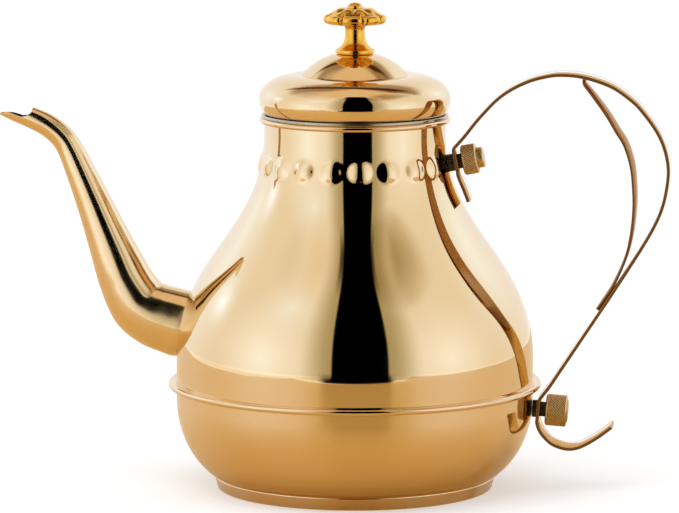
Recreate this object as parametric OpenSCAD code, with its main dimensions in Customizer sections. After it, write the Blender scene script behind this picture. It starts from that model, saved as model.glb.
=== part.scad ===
// Long-spouted coffee pot in mirror-polished, gold-coloured stainless steel.
// Millimetres, +Z up, origin on the pot's axis at the face it stands on.
// The spout points along -X and the strap handle lies on +X, both in the XZ plane.

/* [Body] */
// Largest radius of the belly
belly_r = 67.6; // [64:0.2:72]
// Height of the seam between the lower bowl and the upper body
seam_z = 40; // [37:0.5:44]
// Height of upright wall above the seam
belly_rise = 10; // [6:0.5:14]
// Height from the top of that wall to the foot of the neck
shoulder_h = 85; // [78:0.5:92]
// Outside radius of the neck
neck_r = 34.3; // [32:0.1:37]
// Length of the straight neck
neck_h = 6.4; // [5.5:0.1:9]
// Thickness of the steel sheet
wall = 0.7; // [0.5:0.05:0.9]
// How far the rolled seam stands proud of the belly
seam_w = 3.1; // [2.4:0.1:4]
// Thickness of the rolled seam
seam_t = 2.3; // [1.8:0.1:3]

/* [Base] */
// Height of the capped foot
foot_h = 5.2; // [4:0.1:7]
// Draft of the foot's wall from its top to its bottom
foot_draft = 1.1; // [0.6:0.1:2]
// Roundness of the foot's lower edge
foot_round = 1; // [0.8:0.1:1.5]
// Clearance around the aluminium disc inside the foot
disc_gap = 0.2; // [0.1:0.05:0.5]

/* [Neck ornament] */
// Number of embossed bosses around the neck
boss_n = 20; // [16:1:22]
// Height of the ring of bosses below the neck's straight part
boss_drop = 10.8; // [9:0.1:13]
// Radius of one boss where it leaves the wall
boss_r = 4.6; // [3.8:0.1:5]
// How far a boss stands proud
boss_h = 1.2; // [0.8:0.1:1.6]
// Turn of the ring of bosses about the axis
boss_turn = 9; // [6:0.1:9]

/* [Rim] */
// Radius of the bead rolled round the mouth
rim_bead_r = 1; // [0.8:0.05:1.3]
// Thickness of the mouth ring's flange and sleeve
mouth_t = 1.2; // [1:0.1:1.6]
// Depth of the mouth ring's sleeve inside the neck
mouth_sleeve = 8; // [6:0.5:12]

/* [Lid] */
// How far the lid's widest circle stands out beyond the neck
lid_over = 1.8; // [1.6:0.1:3]
// Height of the lid's flank below its widest circle
lid_flank = 5.4; // [4.5:0.1:6.5]
// Height of the lid's rounded shoulder above its widest circle
lid_shoulder = 8.9; // [7.5:0.1:10]
// Radius of the valley between shoulder and crown
valley_r = 20.4; // [19:0.1:23]
// Height of the crown above the valley
crown_h = 7.7; // [6.5:0.1:9.5]
// Thickness of the lid seal
seal_t = 0.5; // [0.4:0.05:0.8]
// Depth of the lid's skirt inside the neck
skirt_h = 12; // [9:0.5:16]
// Clearance of the skirt inside the mouth ring
skirt_gap = 0.4; // [0.35:0.05:0.8]

/* [Knob] */
// Height of the flower knob
knob_h = 19.5; // [17:0.5:23]
// Radius of the flower
knob_r = 11.9; // [10.5:0.1:14]
// Number of petals
petal_n = 8; // [6:1:10]
// Radius of the knob's waist
waist_r = 3.7; // [3.4:0.1:4.4]
// Radius of the knob's collar
collar_r = 7.4; // [6.6:0.1:8]
// Radius of the knob's screw
knob_screw_r = 2; // [1.6:0.1:2.2]

/* [Spout] */
// Radius of the spout where it joins the body
spout_root_r = 13; // [12:0.1:14]
// Radius of the spout at its mouth
spout_tip_r = 4.1; // [3.6:0.1:4.8]
// Reach of the spout's tip from the belly
spout_reach = 70.6; // [67:0.2:75]
// Height of the spout's tip above its root
spout_rise = 79.8; // [75:0.2:84]
// Radius of the strainer's holes
strain_r = 1.5; // [1.2:0.1:1.8]

/* [Handle] */
// Width of the long strap
strap_w = 14; // [12:0.5:16]
// Thickness of the long strap
strap_t = 1.25; // [1:0.05:1.6]
// Reach of the loop beyond the upper stud
loop_reach = 79.6; // [74:0.1:84]
// Height of the loop above the upper stud
loop_rise = 33.7; // [31:0.1:36]
// Length of the strap's tail below the upper stud
tail_l = 14.5; // [13:0.5:17]
// Reach of the lower bend beyond the lower stud
bend_w = 7.3; // [6.6:0.1:8.6]
// Height of the lower bend above the lower stud
bend_h = 13.9; // [12.6:0.1:15.4]
// Length of the straight run between the lower bend and the loop
run_l = 34.2; // [31:0.2:37]
// Slope of that run from the horizontal
run_turn = 56.8; // [55.4:0.2:58.4]
// Reach of the lower curl beyond the lower stud
curl_reach = 27.9; // [25.5:0.2:31]
// Depth of the lower curl below the lower stud
curl_drop = 14.2; // [12.6:0.1:15.6]
// Width of the grip leaf at its middle
grip_w = 16.5; // [14:0.5:19]
// Thickness of the grip leaf
grip_t = 1.2; // [1:0.05:1.5]
// How deep the grip leaf is dished across its width
grip_dish = 0.9; // [0.6:0.1:2.4]

/* [Studs and thumb nuts] */
// Radius of the threaded studs
stud_r = 2; // [1.5:0.1:2.3]
// Running clearance between a stud and what turns or slides on it
stud_gap = 0.06; // [0.05:0.01:0.12]
// Pitch of the studs' thread
pitch = 0.7; // [0.5:0.05:0.8]
// Length of the upper insulating spacer
spacer_hi = 2.9; // [2.4:0.1:3.6]
// Length of the lower insulating spacer
spacer_lo = 1.9; // [1.5:0.1:2.6]
// Length of the upper outer bush
bush_hi = 1.5; // [0.8:0.1:1.8]
// Length of the lower outer bush
bush_lo = 2.1; // [2:0.1:3.4]
// Radius of the upper thumb nut
nut_hi_r = 5.7; // [5:0.1:6.2]
// Knurled length of the upper thumb nut
nut_hi_h = 5.6; // [5:0.1:7]
// Radius of the lower thumb nut
nut_lo_r = 6; // [5.4:0.1:6.8]
// Knurled length of the lower thumb nut
nut_lo_h = 8; // [6:0.1:9]

/* [Hidden] */
$fn = 96;
smooth = 24;          // pieces along one curved stretch of a profile
eps = 0.01;           // overrun of a cutting tool past a face

// ---- curves -------------------------------------------------------------

// Point of the cubic curve a-b-c-d at t
function bez(a, b, c, d, t) =
    pow(1 - t, 3) * a + 3 * pow(1 - t, 2) * t * b + 3 * (1 - t) * t * t * c + pow(t, 3) * d;
// Direction of that curve at t
function bez_dir(a, b, c, d, t) =
    let (v = pow(1 - t, 2) * (b - a) + 2 * (1 - t) * t * (c - b) + t * t * (d - c)) v / norm(v);
// The vector turned a quarter turn clockwise
function right_of(v) = [v[1], -v[0]];
// Smooth curve through the stations p, with n pieces between each two
function along(p, n) = [
    for (i = [0 : len(p) - 2]) for (k = [0 : (i == len(p) - 2 ? n : n - 1)])
        let (
            t = k / n,
            a = p[max(i - 1, 0)], b = p[i], c = p[i + 1], d = p[min(i + 2, len(p) - 1)]
        )
        0.5 * (2 * b + (c - a) * t + (2 * a - 5 * b + 4 * c - d) * t * t
            + (3 * b - a - 3 * c + d) * t * t * t)
];
// Direction of the polyline p at its point i
function heading(p, i) =
    let (v = p[min(i + 1, len(p) - 1)] - p[max(i - 1, 0)]) v / norm(v);
// The polyline p moved d to its right
function beside(p, d) = [for (i = [0 : len(p) - 1]) p[i] + d * right_of(heading(p, i))];
// The list p backwards
function reversed(p) = [for (i = [len(p) - 1 : -1 : 0]) p[i]];
// Points of an ellipse's arc, centre c and half-axes h, from angle f to g
function arc(c, h, f, g, n) = [
    for (k = [0 : n]) let (w = f + (g - f) * k / n) [c[0] + h[0] * cos(w), c[1] + h[1] * sin(w)]
];

// ---- body ---------------------------------------------------------------

belly_z = seam_z + belly_rise;
neck_z = belly_z + shoulder_h;
neck_top = neck_z + neck_h;
bowl_drop = 6;        // depth of the bowl's widest circle below the seam
bowl_lift = 0.9;      // height of the lowest point of the ellipse that the bowl's section follows
bowl_w = 27.6;        // half-axes of that ellipse
bowl_z = seam_z - bowl_drop;
bowl_h = bowl_z - bowl_lift;
bowl_c = [belly_r - bowl_w, bowl_z];

// Shoulder curve of the upper body, as [radius, height]
sh = [
    [belly_r, belly_z],
    [belly_r, belly_z + 0.45 * shoulder_h],
    [neck_r, neck_z - 0.435 * shoulder_h],
    [neck_r, neck_z]
];
function shoulder(t) = bez(sh[0], sh[1], sh[2], sh[3], t);
function shoulder_out(t) = right_of(bez_dir(sh[0], sh[1], sh[2], sh[3], t));
// Where on the shoulder curve it passes height z
function shoulder_at(z, lo = 0, hi = 1, i = 0) =
    i > 24 ? (lo + hi) / 2 :
    let (m = (lo + hi) / 2) shoulder(m)[1] < z ? shoulder_at(z, m, hi, i + 1) : shoulder_at(z, lo, m, i + 1);
// The shoulder's outer line moved out by d
function shoulder_line(d) = [
    for (k = [0 : smooth]) shoulder(k / smooth) + d * shoulder_out(k / smooth)
];
// Outer line of the lower bowl from angle f, moved in by d
function bowl_line(d, f) = arc(bowl_c, [bowl_w - d, bowl_h - d], f, 0, smooth);
function bowl_foot(d, z) = -asin((bowl_z - z) / (bowl_h - d));
cap_step = 0.2;       // step in from the bowl to the foot cap
foot_top_r = bowl_c[0] + bowl_w * cos(bowl_foot(0, foot_h)) - cap_step;

module base_cap()
    color("#c99a55")
        rotate_extrude()
            difference() {
                polygon(concat(
                    [[0, 0]],
                    arc([foot_top_r - foot_draft - foot_round, foot_round],
                        [foot_round, foot_round], -90, 0, 6),
                    [[foot_top_r, foot_h], [0, foot_h]]
                ));
                polygon([
                    [-eps, wall], [foot_top_r - foot_draft - wall, wall],
                    [foot_top_r - wall, foot_h + eps], [-eps, foot_h + eps]
                ]);
            }

module base_disc()
    color("#b9bcc0")
        translate([0, 0, wall])
            cylinder(r = foot_top_r - foot_draft - wall - disc_gap, h = foot_h - wall);

module lower_shell()
    color("#d4a35c")
        rotate_extrude()
            polygon(concat(
                [[0, foot_h]],
                bowl_line(0, bowl_foot(0, foot_h)),
                [[belly_r, seam_z], [belly_r - wall, seam_z]],
                reversed(bowl_line(wall, bowl_foot(wall, foot_h + wall))),
                [[0, foot_h + wall]]
            ));

module seam_ring()
    color("#e0bd80")
        translate([0, 0, seam_z])
            rotate_extrude() {
                translate([belly_r, -seam_t / 2])
                    square([seam_w - seam_t / 2, seam_t]);
                translate([belly_r + seam_w - seam_t / 2, 0])
                    circle(d = seam_t, $fn = 48);
            }

// Places its children on the shoulder curve at height z, their +Z pointing out of the wall
module on_shoulder(z) {
    t = shoulder_at(z);
    on_wall(shoulder(t), shoulder_out(t))
        children();
}

// Places its children at p = [radius, height], their +Z along the direction out
module on_wall(p, out)
    translate([p[0], 0, p[1]])
        rotate([0, atan2(out[0], out[1]), 0])
            children();

boss_z = neck_z - boss_drop;
boss_ball = (boss_r * boss_r + boss_h * boss_h) / (2 * boss_h);
boss_step = 360 / boss_n;
// Bosses that would lie under the upper stud are left out
boss_turns = [
    for (k = [0 : boss_n - 1])
        let (a = boss_turn - 90 + k * boss_step, off = abs(((a + 180) % 360) - 180))
        if (off > 0.55 * boss_step) a
];
module bosses(r)
    for (a = boss_turns)
        rotate(a)
            on_shoulder(boss_z)
                translate([0, 0, boss_h - boss_ball])
                    sphere(r = r, $fn = 48);

module upper_shell()
    color("#e6cb92")
        difference() {
            union() {
                rotate_extrude()
                    polygon(concat([[0, seam_z], [belly_r, seam_z]], shoulder_line(0),
                        [[neck_r, neck_top], [0, neck_top]]));
                bosses(boss_ball);
            }
            rotate_extrude()
                polygon(concat([[0, seam_z - eps], [belly_r - wall, seam_z - eps]], shoulder_line(-wall),
                    [[neck_r - wall, neck_top + eps], [0, neck_top + eps]]));
            bosses(boss_ball - wall);
            spout_cut(spout_hole_r);
        }

rim_out = rim_bead_r - 0.2;
module neck_rim()
    color("#e0b970")
        rotate_extrude()
            polygon(concat(
                [[neck_r, neck_top - 2 * rim_bead_r]],
                arc([neck_r + rim_out, neck_top - rim_bead_r], [rim_bead_r, rim_bead_r], -90, 90, smooth / 2),
                [[neck_r, neck_top]]
            ));

mouth_r = neck_r - wall - mouth_t / 2;
mouth_top = neck_top + mouth_t;
mouth_flange_r = neck_r + rim_bead_r;
module mouth_ring()
    color("#b5a48c")
        rotate_extrude() {
            translate([mouth_r, neck_top - mouth_sleeve])
                square([mouth_t / 2, mouth_sleeve + mouth_t]);
            translate([mouth_r, neck_top])
                square([mouth_flange_r - mouth_r, mouth_t]);
        }

// ---- lid ----------------------------------------------------------------

lid_z = mouth_top + seal_t;
lid_r = neck_r + lid_over;
lid_wide_z = lid_z + lid_flank;
flank_r = 10;         // radius of the curve of the lid's flank
valley_w = 1.6;       // flat of the valley
valley_z = lid_wide_z + lid_shoulder;
lid_shoulder_w = lid_r - valley_r - valley_w;
crown_top = valley_z + crown_h;
crown_r = collar_r + 0.2;
flank_turn = -asin(lid_flank / flank_r);
// Outer line of the lid from its lower edge to its crown
lid_line = concat(
    arc([lid_r - flank_r, lid_wide_z], [flank_r, flank_r], flank_turn, 0, 6),
    [
        for (p = arc([lid_r - lid_shoulder_w, lid_wide_z], [lid_shoulder_w, lid_shoulder], 0, 90, smooth))
            if (p[1] > lid_wide_z) p
    ],
    [
        for (k = [0 : smooth / 2])
            bez([valley_r, valley_z], [valley_r - 3, valley_z + 2.7], [valley_r - 7, crown_top - 1.2],
                [crown_r, crown_top], k / (smooth / 2))
    ]
);
knob_hole_r = knob_screw_r + 0.1;

module lid_shell()
    color("#d9b37a")
        rotate_extrude()
            polygon(concat(
                lid_line, [[knob_hole_r, crown_top], [knob_hole_r, crown_top - wall]],
                reversed(beside(lid_line, -wall))
            ));

skirt_r = mouth_r - skirt_gap;
lid_edge_r = lid_line[0][0] - wall;
module lid_skirt()
    color("#c9bfae")
        rotate_extrude() {
            translate([skirt_r - wall, lid_z - skirt_h])
                square([wall, skirt_h + wall]);
            translate([skirt_r - wall, lid_z])
                square([lid_edge_r - skirt_r + wall, wall]);
        }

module lid_seal()
    color("#2a2623")
        translate([0, 0, mouth_top])
            difference() {
                cylinder(r = lid_edge_r, h = seal_t);
                translate([0, 0, -eps])
                    cylinder(r = skirt_r, h = seal_t + 2 * eps);
            }

// ---- knob ---------------------------------------------------------------

collar_t = 2.2;
petal_edge = 1.75;
petal_r = 0.42 * knob_r;
flower_z = 0.68 * knob_h;
flower_under = flower_z - petal_edge;
flower_rim = knob_r - petal_edge;
// Collar, flare and waist
module knob_stem()
    rotate_extrude() {
        square([collar_r - collar_t / 2, collar_t]);
        translate([collar_r - collar_t / 2, collar_t / 2])
            circle(d = collar_t, $fn = 32);
        polygon(concat(
            [[0, 0]],
            [for (k = [0 : 8]) bez([collar_r - 1, collar_t], [waist_r + 0.8, collar_t + 1.4],
                [waist_r, collar_t + 3], [waist_r, 0.42 * knob_h], k / 8)],
            [[waist_r, flower_z], [0, flower_z]]
        ));
    }

// Domed, scalloped flower with a bud in its middle
module knob_flower()
    intersection() {
        rotate_extrude()
            polygon(concat(
                [[0, flower_under - 0.9], [waist_r + 0.4, flower_under - 0.9], [waist_r + 1.6, flower_under]],
                arc([flower_rim, flower_z], [petal_edge, petal_edge], -90, 90, 8),
                [for (k = [1 : 6]) bez([flower_rim, flower_z + petal_edge], [0.7 * knob_r, knob_h - 3.4],
                    [0.5 * knob_r, knob_h - 2.3], [0.28 * knob_r, knob_h - 1.7], k / 6)],
                arc([0, knob_h - 1.7], [0.26 * knob_r, 1.7], 0, 90, 6)
            ));
        union() {
            cylinder(r = 0.8 * knob_r, h = 2 * knob_h);
            for (k = [0 : petal_n - 1])
                rotate(k * 360 / petal_n)
                    translate([knob_r - petal_r + 0.3, 0, 0])
                        cylinder(r = petal_r, h = 2 * knob_h);
        }
    }

knob_bore_h = 0.5 * knob_h;
module knob()
    color("#e8b24a")
        translate([0, 0, crown_top])
            difference() {
                union() {
                    knob_stem();
                    knob_flower();
                }
                translate([0, 0, -eps])
                    cylinder(r = knob_screw_r + stud_gap, h = knob_bore_h);
            }

washer_t = 0.8;
module knob_washer()
    color("#9a9a98")
        translate([0, 0, crown_top - wall - washer_t])
            difference() {
                cylinder(r = 2.2 * knob_screw_r, h = washer_t);
                translate([0, 0, -eps])
                    cylinder(r = knob_hole_r, h = washer_t + 2 * eps);
            }

screw_head_h = 1.1 * knob_screw_r;
module knob_screw()
    color("#8f9092")
        translate([0, 0, crown_top - wall - washer_t])
            difference() {
                union() {
                    cylinder(r = knob_screw_r, h = wall + washer_t + knob_bore_h - 1);
                    translate([0, 0, -screw_head_h])
                        cylinder(r = 1.75 * knob_screw_r, h = screw_head_h);
                }
                for (turn = [0, 90])
                    rotate(turn)
                        translate([-knob_screw_r, -0.35, -screw_head_h - eps])
                            cube([2 * knob_screw_r, 0.7, screw_head_h * 0.6]);
            }

// ---- spout --------------------------------------------------------------

spout_up = 21.5;      // height of the spout's root above the seam
spout_z = seam_z + spout_up;
root_t = shoulder_at(spout_z);
root = [-shoulder(root_t)[0], spout_z];
tip = root + [-spout_reach, spout_rise];
// Stations along the spout from inside the wall to past the tip: share of reach, share of rise, radius
spout_stations = [
    for (s = [
        [-0.082, -0.019, 1], [0, 0, 1], [0.053, 0.014, 0.97], [0.135, 0.038, 0.925], [0.21, 0.08, 0.86],
        [0.259, 0.139, 0.78], [0.298, 0.205, 0.69], [0.333, 0.277, 0.615], [0.397, 0.417, 0.447],
        [0.461, 0.557, 0.305], [0.527, 0.695, 0.19], [0.598, 0.833, 0.085], [0.644, 0.891, 0.05],
        [0.711, 0.939, 0.025], [0.787, 0.972, 0], [0.898, 1.008, -0.06], [0.985, 1.037, -0.12],
        [1.061, 1.062, -0.2]
    ])
        [
            root[0] - s[0] * spout_reach, root[1] + s[1] * spout_rise,
            spout_tip_r + s[2] * (spout_root_r - spout_tip_r)
        ]
];
spout_path = along(spout_stations, 2);
spout_sides = 36;

// Tube along the path p of [x, z, radius], its surface moved in by d
module sweep(p, d) {
    n = spout_sides;
    last = len(p) - 1;
    rings = [
        for (i = [0 : last])
            let (
                c = [p[i][0], p[i][1]],
                side = right_of(heading([for (q = p) [q[0], q[1]]], i)),
                r = p[i][2] - d
            )
            for (k = [0 : n - 1])
                let (w = 360 * k / n)
                [c[0] + r * cos(w) * side[0], r * sin(w), c[1] + r * cos(w) * side[1]]
    ];
    sides = [
        for (i = [0 : last - 1]) for (k = [0 : n - 1])
            let (m = (k + 1) % n)
            each [[i * n + k, (i + 1) * n + k, i * n + m], [i * n + m, (i + 1) * n + k, (i + 1) * n + m]]
    ];
    ends = [for (k = [1 : n - 2]) each [[0, k, k + 1], [last * n, last * n + k + 1, last * n + k]]];
    polyhedron(rings, concat(sides, ends));
}

// Outer space of the body, for trimming what is welded to it
module body_block(d)
    rotate_extrude($fn = 180)
        polygon(concat(
            [[0, foot_h], [belly_r + d, foot_h], [belly_r + d, belly_z]], shoulder_line(d), [[0, neck_top]]
        ));

module pouring_mouth()
    translate([tip[0], 0, tip[1]])
        rotate([90, 0, 0])
            linear_extrude(4 * spout_tip_r, center = true)
                polygon(concat(
                    [[-12, 0.2], [-1.2, 0.1]],
                    along([
                        [-1.2, 0.1], [5.2, 0.1], [8, -0.5], [10.2, -1.1], [12.4, -0.6], [14, 0.5], [14.4, 2]
                    ], 4),
                    [[12, 12], [-12, 12]]
                ));

module spout()
    color("#d9a962")
        difference() {
            sweep(spout_path, 0);
            sweep(spout_path, wall);
            body_block(0);
            pouring_mouth();
        }

// Straight round opening through the belly wall for the strainer
weld_margin = 1.2;
spout_hole_r = spout_root_r - wall - weld_margin;
hole_drop = 0.4;
hole_l = 14;
module spout_cut(r)
    translate([root[0], 0, root[1] - hole_drop])
        rotate([0, -90, 0])
            cylinder(r = r, h = hole_l, center = true);

strain_t = 0.8;
strain_lap = 1.6;
module spout_strainer()
    color("#bba98c")
        difference() {
            intersection() {
                difference() {
                    body_block(-wall);
                    body_block(-wall - strain_t);
                }
                spout_cut(spout_hole_r + strain_lap);
            }
            translate([root[0], 0, root[1] - hole_drop])
                rotate([0, -90, 0])
                    for (ring = [0 : 2])
                        for (k = [0 : max(0, 6 * ring - 1)])
                            rotate(60 / max(1, ring) * k)
                                translate([2.4 * strain_r * ring, 0, 0])
                                    cylinder(r = strain_r, h = 2 * hole_l, center = true, $fn = 24);
        }

// ---- handle fixing ------------------------------------------------------

hi_t = shoulder_at(boss_z);
hi_p = shoulder(hi_t);
hi_out = shoulder_out(hi_t);
lo_turn = -4.9;        // where the lower stud stands on the ellipse of the bowl's section
lo_p = [bowl_c[0] + bowl_w * cos(lo_turn), bowl_c[1] + bowl_h * sin(lo_turn)];
lo_out = let (v = [cos(lo_turn) / bowl_w, sin(lo_turn) / bowl_h]) v / norm(v);
seat_hi = spacer_hi + strap_t / 2;
seat_lo = spacer_lo + strap_t / 2;
bore_r = stud_r + stud_gap;
thread_depth = 0.3 * pitch / 0.7;
root_gap = 0.12;      // gap under what stands on the curved wall

// Tube from height z0 to z0 + h
module tube(r, bore, z0, h)
    translate([0, 0, z0])
        difference() {
            cylinder(r = r, h = h);
            translate([0, 0, -eps])
                cylinder(r = bore, h = h + 2 * eps);
        }

// Threaded stud that ends at height h; its thread is a stack of grooves from height z0
module stud(h, z0)
    difference() {
        translate([0, 0, root_gap])
            cylinder(r = stud_r, h = h - root_gap);
        for (z = [z0 : pitch : h - 0.6 * pitch])
            translate([0, 0, z])
                rotate_extrude()
                    polygon([
                        [stud_r - thread_depth, 0.5 * pitch], [stud_r + eps, 0.15 * pitch],
                        [stud_r + eps, 0.85 * pitch]
                    ]);
    }

hi_nut_z = spacer_hi + strap_t + bush_hi;
lo_nut_z = spacer_lo + strap_t + bush_lo;
hi_stud_h = hi_nut_z + nut_hi_h;
lo_stud_h = lo_nut_z + nut_lo_h - 1;

module upper_stud()
    color("#a8a29a")
        on_wall(hi_p, hi_out)
            stud(hi_stud_h, spacer_hi + strap_t);
module lower_stud()
    color("#a8a29a")
        on_wall(lo_p, lo_out)
            stud(lo_stud_h, spacer_lo + strap_t);
spacer_r = 1.65 * stud_r;
module upper_spacer()
    color("#1d1a18")
        on_wall(hi_p, hi_out)
            tube(spacer_r, bore_r, root_gap, spacer_hi - root_gap);
module lower_spacer()
    color("#1d1a18")
        on_wall(lo_p, lo_out)
            tube(spacer_r, bore_r, root_gap, spacer_lo - root_gap);

bush_r = 1.4 * stud_r;
// Outer insulating bush with grip ribs
module ribbed_bush(z0, h, ribs)
    difference() {
        tube(bush_r, bore_r, z0, h);
        for (k = [0 : 1 : ribs - 1])
            rotate(k * 360 / ribs)
                translate([bush_r + 0.15, 0, z0 - eps])
                    cylinder(r = 0.45, h = h + 2 * eps, $fn = 16);
    }
module upper_bush()
    color("#1d1a18")
        on_wall(hi_p, hi_out)
            ribbed_bush(spacer_hi + strap_t, bush_hi, 10);
module lower_bush()
    color("#1d1a18")
        on_wall(lo_p, lo_out)
            ribbed_bush(spacer_lo + strap_t, bush_lo, 10);

knurl_n = 40;
// Thumb nut: knurled drum of radius r and length h, then a boss of radius boss and length boss_l
module thumb_nut(r, h, boss, boss_l, bore_l) {
    edge = 0.5;
    tip_edge = min(0.8, 0.8 * (h + boss_l));
    difference() {
        union() {
            rotate_extrude()
                polygon([[0, 0], [r - edge, 0], [r, edge], [r, h - edge], [r - edge, h], [0, h]]);
            rotate_extrude()
                polygon([
                    [0, 0], [boss, 0], [boss, h + boss_l - tip_edge],
                    [boss - tip_edge, h + boss_l], [0, h + boss_l]
                ]);
        }
        for (k = [0 : knurl_n - 1])
            rotate(k * 360 / knurl_n)
                translate([r + 0.1, 0, -eps])
                    cylinder(r = 0.35, h = h + 2 * eps, $fn = 4);
        translate([0, 0, -eps])
            cylinder(r = bore_r, h = bore_l);
    }
}
nut_boss = 2.5;
module upper_nut()
    color("#b08a48")
        on_wall(hi_p, hi_out)
            translate([0, 0, hi_nut_z])
                thumb_nut(nut_hi_r, nut_hi_h, 0.68 * nut_hi_r, nut_boss, nut_hi_h + 0.6);
module lower_nut()
    color("#b08a48")
        on_wall(lo_p, lo_out)
            translate([0, 0, lo_nut_z])
                thumb_nut(nut_lo_r, nut_lo_h, 0.7 * nut_lo_r, 0.4, nut_lo_h - 0.5);

// ---- handle -------------------------------------------------------------

hi_seat = hi_p + seat_hi * hi_out;
lo_seat = lo_p + seat_lo * lo_out;
hi_down = right_of(hi_out);
lo_down = right_of(lo_out);
// Furthest point of the loop
loop_x = hi_seat[0] + loop_reach;
loop_top = hi_seat[1] + loop_rise;
// Half-length of the strap's flat seat on each stud
flat = 3.4;
// Ends of the straight run above the lower stud
run_foot = lo_seat + [bend_w, bend_h];
run_up = [cos(run_turn), sin(run_turn)];
run_top = run_foot + run_l * run_up;
run_share = 0.28;     // share of the loop's reach that lies beyond the run's top
// Point of the loop's far side: share u of its reach in from its furthest point, share v of the way
// down to the straight run. Where the run stands nearer or further, the lower half leans with it.
loop_drop = loop_top - run_top[1];
lean = run_top[0] - (loop_x - run_share * loop_reach);
lean_v = 0.787;
function far_side(u, v) = [
    loop_x - u * loop_reach + lean * pow(min(1, v / lean_v), 2), loop_top - v * loop_drop
];
// Each point of p, as shares of the width w and the height h, from the origin c
function scaled(c, w, h, p) = [for (q = p) c + [q[0] * w, q[1] * h]];
// Middle line of the long strap: tail below the upper stud, loop, bend onto the lower stud, curl below it
tail_stations = concat(
    scaled(hi_seat, tail_l, tail_l, [[0.327, -1], [0.228, -0.737]]),
    [hi_seat + (flat + 2) * hi_down, hi_seat + flat * hi_down]
);
loop_stations = concat(
    [hi_seat - flat * hi_down],
    scaled(hi_seat, loop_reach, loop_rise, [
        [-0.012, 0.14], [-0.007, 0.176], [0.01, 0.221], [0.045, 0.317], [0.095, 0.469], [0.137, 0.582],
        [0.193, 0.718], [0.259, 0.831], [0.339, 0.923], [0.414, 0.975], [0.489, 0.999]
    ]),
    [for (d = [
        [0.402, 0.009], [0.273, 0.048], [0.178, 0.107], [0.123, 0.158], [0.057, 0.242], [0.019, 0.318],
        [0, 0.401], [0.003, 0.477], [0.024, 0.575], [0.064, 0.667], [0.137, lean_v]
    ]) far_side(d[0], d[1])],
    [run_top]
);
foot_stations = concat(
    scaled(lo_seat, bend_w, bend_h, [[1, 1], [0.586, 0.668], [0.257, 0.44], [0.093, 0.324]]),
    [lo_seat - flat * lo_down]
);
curl_stations = concat(
    [lo_seat + flat * lo_down, lo_seat + (flat + 0.9) * lo_down],
    scaled(lo_seat, curl_reach, curl_drop, [
        [0.015, -0.473], [0.079, -0.665], [0.184, -0.858], [0.299, -0.957], [0.414, -1], [0.528, -0.972],
        [0.644, -0.875], [0.81, -0.678], [1, -0.394]
    ])
);
strap_line = concat(
    along(tail_stations, 4), along(loop_stations, 4), along(foot_stations, 4), along(curl_stations, 4)
);
module ribbon(line, t, w)
    rotate([90, 0, 0])
        linear_extrude(w, center = true)
            polygon(concat(beside(line, t / 2), reversed(beside(line, -t / 2))));

module handle_strap()
    color("#7d5c36")
        difference() {
            ribbon(strap_line, strap_t, strap_w);
            on_wall(hi_p, hi_out)
                cylinder(r = bore_r, h = 2 * seat_hi);
            on_wall(lo_p, lo_out)
                cylinder(r = bore_r, h = 2 * seat_lo + 1);
        }

// Middle line of the grip leaf, hung between the loop's underside and the straight run
grip_gap = (strap_t + grip_t) / 2 + 0.03;
run_side = right_of(-run_up);
grip_end = run_top + grip_gap * run_side;
grip_lap = 5.5;       // length of the leaf that lies on the straight run
grip_stations = concat(
    [for (d = [
        [0.401, 0.023], [0.398, 0.046], [0.361, 0.09], [0.296, 0.172], [0.247, 0.247], [0.206, 0.31],
        [0.176, 0.399], [0.164, 0.497], [0.162, 0.591], [0.173, 0.704], [0.199, 0.812]
    ]) far_side(d[0], d[1])],
    [
        grip_end + 1.2 * grip_lap * run_up + 0.2 * grip_gap * run_side,
        grip_end, grip_end - grip_lap * run_up
    ]
);
grip_line = along(grip_stations, 2);
grip_cross = 8;

module grip_leaf() {
    n = len(grip_line);
    m = grip_cross;
    // share of the full width and of the dish at point i
    function swell(i) = let (u = i / (n - 1)) pow(sin(180 * min(1, max(0, 0.06 + 0.9 * u))), 0.55);
    function row(i, face) = [
        for (k = [0 : m])
            let (
                y = (k / m - 0.5) * grip_w * swell(i),
                side = -right_of(heading(grip_line, i)),
                bulge = grip_dish * pow(sin(180 * min(1, i / (n - 7))), 0.8) * (1 - pow(2 * k / m - 1, 2)),
                p = grip_line[i] + (bulge + face * grip_t / 2) * side
            )
            [p[0], y, p[1]]
    ];
    q = 2 * (m + 1);
    rings = [for (i = [0 : n - 1]) each concat(row(i, 1), reversed(row(i, -1)))];
    walls = [
        for (i = [0 : n - 2]) for (k = [0 : q - 1])
            let (j = (k + 1) % q)
            each [[i * q + k, i * q + j, (i + 1) * q + k], [i * q + j, (i + 1) * q + j, (i + 1) * q + k]]
    ];
    last = (n - 1) * q;
    ends = [
        for (k = [0 : m - 1])
            let (a = k, b = k + 1, c = q - 2 - k, d = q - 1 - k)
            each [[a, d, b], [b, d, c], [last + a, last + b, last + d], [last + b, last + c, last + d]]
    ];
    color("#8a6840")
        polyhedron(rings, concat(walls, ends));
}

// ---- nodes --------------------------------------------------------------

base_cap();
base_disc();
lower_shell();
seam_ring();
upper_shell();
neck_rim();
mouth_ring();
spout();
spout_strainer();
upper_stud();
lower_stud();
upper_spacer();
lower_spacer();
handle_strap();
grip_leaf();
upper_bush();
lower_bush();
upper_nut();
lower_nut();
lid_shell();
lid_skirt();
lid_seal();
knob();
knob_washer();
knob_screw();
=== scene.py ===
import math

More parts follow.
